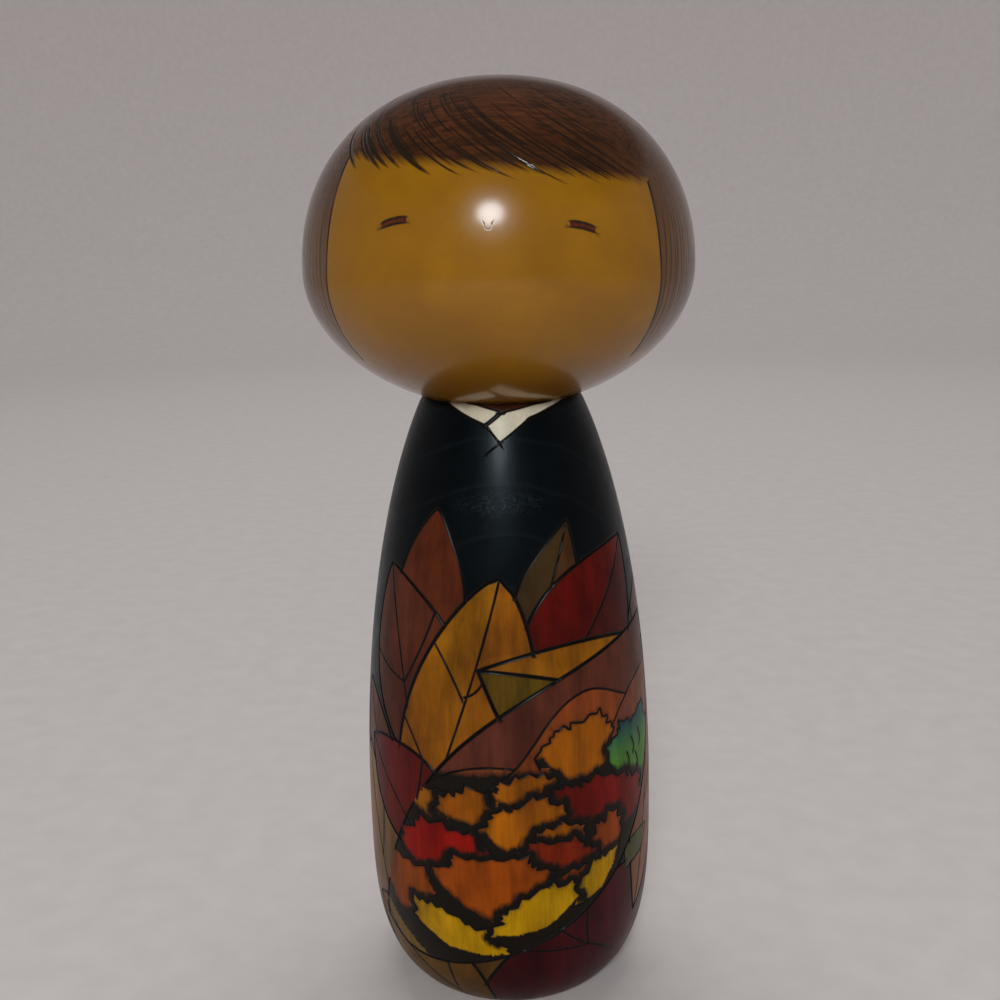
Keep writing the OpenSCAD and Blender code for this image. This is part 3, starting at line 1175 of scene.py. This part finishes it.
def in_scenery(points):
    """Which points lie in the part of the robe with the finest artwork."""
    angle, height = robe_art.surface.place(points)
    beside = abs(angle - SCENERY_MIDDLE) < SCENERY_HALF
    return beside & (height > SCENERY_BOTTOM) & (height < SCENERY_TOP)


def make_body():
    flat, triangles, loops = sheet_mesh(robe_art, BODY_TOP, 0, BODY_SPACING, SCENERY_SPACING,
                                        in_scenery)
    shoulder = [(SOCKET_R + 1, BODY_TOP), (SOCKET_R, BODY_TOP), (SOCKET_R, BODY_TOP - 1),
                (SOCKET_R, SOCKET_FLOOR), (0, SOCKET_FLOOR)]
    foot = [(BASE_RECESS_R + 0.4, 0), (BASE_RECESS_R, 0.2), (BASE_RECESS_R - 0.2, BASE_RECESS),
            (12, BASE_RECESS), (CENTRE_MARK_R + 0.4, BASE_RECESS),
            (CENTRE_MARK_R, BASE_RECESS + 0.5), (0, BASE_RECESS + 0.8)]
    piece, flat, sheet_faces = turned_piece("painted_body", robe_art, flat, triangles,
                                            [(loops[0], shoulder), (loops[1], foot)])
    paint_corners(piece, robe_art, flat, sheet_faces, plain("#05090c"))
    piece.data.materials.append(robe_material())
    piece.data.materials.append(bare_wood("bare_body_wood", "#a9825a", "#cdb089"))
    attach(piece, "body")
    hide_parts("body")


def make_head():
    art = draw_head()
    flat, triangles, loops = sheet_mesh(art, None, HEAD_BOTTOM, HEAD_SPACING)
    pocket = [(PEG_R + 1, HEAD_BOTTOM), (PEG_R, HEAD_BOTTOM), (PEG_R, HEAD_BOTTOM + 1),
              (PEG_R, PEG_TOP), (0, PEG_TOP)]
    piece, flat, sheet_faces = turned_piece("painted_head", art, flat, triangles,
                                            [(loops[0], pocket)])
    paint_corners(piece, art, flat, sheet_faces, plain("#000000"))
    add_flow(piece, art, flat)
    piece.data.materials.append(head_material())
    piece.data.materials.append(bare_wood("bare_head_wood", "#a9825a", "#cdb089"))
    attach(piece, "head")
    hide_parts("head")


ALONG_STRANDS = 0.035


def add_flow(piece, art, flat):
    """Stores where each point lies across and along the strands of hair, for the streaks."""
    angle, height = art.surface.place(flat)
    across = np.radians(swept(angle, height))
    flow = np.zeros((len(piece.data.vertices), 3), np.float32)
    flow[:len(flat)] = np.stack([HEAD_R * np.cos(across), HEAD_R * np.sin(across),
                                 height * ALONG_STRANDS], axis=1)
    layer = piece.data.attributes.new("flow", "FLOAT_VECTOR", "POINT")
    layer.data.foreach_set("vector", flow.ravel())


robe_art = paint_robe()
make_body()
make_head()

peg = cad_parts["neck_peg"]
peg.data.materials.clear()
peg.data.materials.append(bare_wood("peg_wood", "#b08a5c", "#d8bd94"))


# ---- Camera, light and floor ----


def set_camera():
    """A phone held a little above the head, tipped down and slightly off level."""
    doll_turn, pan, tip, roll = (math.radians(a) for a in (2.5, 2.68, 12.94, -1.26))
    lens = bpy.data.cameras.new("camera")
    lens.lens = 43.2
    lens.sensor_width = 36
    lens.clip_start = 0.01
    camera = add_object("camera", lens)
    place = Matrix.Rotation(doll_turn, 4, "Z") @ Vector((0, -0.3147, 0.2052))
    camera.matrix_world = (Matrix.Translation(place) @ Matrix.Rotation(pan, 4, "Z")
                           @ Matrix.Rotation(math.pi / 2 - tip, 4, "X")
                           @ Matrix.Rotation(roll, 4, "Z"))
    bpy.context.scene.camera = camera


def add_light(name, place, aim, size, power, tint):
    """A round light of size metres across."""
    lamp = bpy.data.lights.new(name, "AREA")
    lamp.shape = "DISK"
    lamp.size = size
    lamp.energy = power
    lamp.color = tint
    light = add_object(name, lamp)
    light.location = place
    light.rotation_euler = (Vector(place) - Vector(aim)).to_track_quat("Z", "Y").to_euler()
    return light


def set_light():
    """A key in a wide diffuser above the camera, a ceiling behind the doll, and a dim room."""
    add_light("key", (-0.04, -1.33, 0.93), (0, 0, 0.2), 0.36, 9.6, (0.98, 0.99, 1))
    add_light("diffuser", (-0.04, -1.38, 0.95), (0, 0, 0.2), 0.9, 1.9, (0.98, 0.99, 1))
    ceiling = add_light("ceiling", (0, 0.9, 2.2), (0, 0, 0), 2.0, 24, (0.98, 0.98, 1))
    ceiling.visible_glossy = False
    world = bpy.data.worlds.new("studio")
    world.use_nodes = True
    room = world.node_tree.nodes["Background"]
    room.inputs[0].default_value = (0.86, 0.88, 0.92, 1)
    room.inputs[1].default_value = 0.09
    bpy.context.scene.world = world


def make_floor():
    """A pale bowl: a flat floor that curves up into a low round wall."""
    level, bend_r, wall_top, count = 1.6, 0.8, 1.6, 96
    bends = np.linspace(0, math.pi / 2, 16)
    curve_up = [(level + bend_r * math.sin(a), bend_r - bend_r * math.cos(a)) for a in bends]
    profile = [(0.25, 0), (0.8, 0)] + curve_up + [(level + bend_r, wall_top)]
    angles = np.linspace(0, 2 * math.pi, count, endpoint=False)
    corners = [(r * math.cos(a), r * math.sin(a), z) for r, z in profile for a in angles]
    corners.append((0, 0, 0))
    faces = []
    for k in range(len(profile) - 1):
        here = range(k * count, (k + 1) * count)
        there = range((k + 1) * count, (k + 2) * count)
        faces += ring_faces(there, here)
    faces += [(len(corners) - 1, i, (i + 1) % count) for i in range(count)]
    mesh = bpy.data.meshes.new("floor")
    mesh.from_pydata(corners, [], faces)
    mesh.polygons.foreach_set("use_smooth", [True] * len(faces))
    floor = add_object("floor", mesh)
    nodes = Nodes("pale_cloth")
    weave = nodes.noise(90, 3)
    nodes.surface(Base_Color=nodes.ramp(weave, (0.3, "#d4cdca"), (0.7, "#dad3d0")), Roughness=0.9)
    mesh.materials.append(nodes.material)


set_camera()
set_light()
make_floor()
bpy.context.scene.view_settings.view_transform = "Standard"
